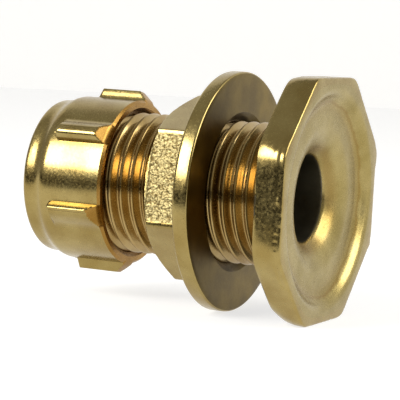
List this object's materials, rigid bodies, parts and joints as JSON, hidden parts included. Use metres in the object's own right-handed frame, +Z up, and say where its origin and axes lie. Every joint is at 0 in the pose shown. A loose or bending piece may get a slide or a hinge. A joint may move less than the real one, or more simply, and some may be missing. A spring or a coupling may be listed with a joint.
{
  "type": "tank connector",
  "caption": "Brass tank connector: octagonal flanged head on a threaded shank, flanged hexagon backnut, and a lugged compression nut and olive for a water tube.",
  "frame": {"origin": "on the fitting's axis, in the plane of the flange seat that bears on the inside of the tank wall", "axes": "+X along the fitting's axis, out through the octagonal head; -X towards the compression nut; +Z up, square to two flats of the head"},
  "size_m": [0.0445, 0.0354, 0.0354],
  "materials": {
    "forged_brass_body": "hot forged head, lightly polished, with a machined thread",
    "forged_brass_backnut": "hot forged, lightly polished, one flat left rough",
    "forged_brass_nut": "hot forged and lightly polished, machined at the mouth",
    "soft_brass_olive": "turned, annealed"
  },
  "bodies": {
    "fitting": {"fitting_body": "forged_brass_body"},
    "backnut": {"flanged_backnut": "forged_brass_backnut"},
    "olive": {"compression_olive": "soft_brass_olive"},
    "nut": {"compression_nut": "forged_brass_nut"}
  },
  "joints": [
    {"name": "backnut_slide", "type": "slide", "parent": "fitting", "child": "backnut", "axis": [1, 0, 0], "range_m": [-0.00544, 0.00907]},
    {"name": "olive_slide", "type": "slide", "parent": "fitting", "child": "olive", "axis": [1, 0, 0], "range_m": [-0.0073, 0.00095]},
    {"name": "nut_turn", "type": "hinge", "parent": "olive", "child": "nut", "pos_m": [-0.0335, 0, 0], "axis": [1, 0, 0], "range_deg": [-1440, 180]}
  ],
  "couplings": [
    {"joint": "olive_slide", "follows": "nut_turn", "m_per_rad": 0.00028871}
  ]
}
